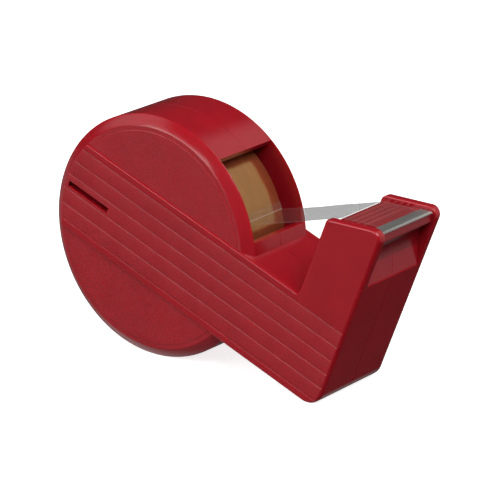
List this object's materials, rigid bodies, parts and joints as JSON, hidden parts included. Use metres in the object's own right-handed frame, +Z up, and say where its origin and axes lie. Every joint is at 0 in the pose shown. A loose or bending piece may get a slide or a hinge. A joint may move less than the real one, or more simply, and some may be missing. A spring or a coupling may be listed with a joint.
{
  "type": "tape dispenser",
  "caption": "Small hand tape dispenser with a round drum for the roll, a sloping grooved arm and a cutter tower with a toothed blade.",
  "frame": {"origin": "on the table, at the middle of the dispenser's length and width", "axes": "+X towards the cutter, +Y across the width away from the removable cover, +Z up"},
  "size_m": [0.1118, 0.029, 0.0695],
  "materials": {
    "case_plastic": "red injection-moulded polystyrene, glossy with finely textured side discs",
    "rest_plastic": "red injection-moulded polystyrene, glossy, ribbed on top",
    "blade_steel": "stamped spring steel, brushed, with bright tooth tips",
    "hub_plastic": "off-white moulded plastic",
    "core_card": "wound grey-brown card",
    "wound_tape": "many turns of clear adhesive film, amber where wound",
    "clear_tape": "one layer of clear adhesive film, slightly hazy"
  },
  "bodies": {
    "case": {"far_shell": "case_plastic", "tape_rest": "rest_plastic", "cutter_blade": "blade_steel", "tape_strip": "clear_tape"},
    "cover": {"near_cover": "case_plastic"},
    "reel": {"roll_hub": "hub_plastic", "tape_core": "core_card", "tape_roll": "wound_tape"}
  },
  "joints": [
    {"name": "reel_spin", "type": "hinge", "parent": "case", "child": "reel", "pos_m": [-0.02116, 0, 0.03475], "axis": [0, 1, 0], "continuous": true},
    {"name": "cover_release", "type": "slide", "parent": "case", "child": "cover", "axis": [0, -1, 0], "range_m": [0, 0.035]}
  ]
}
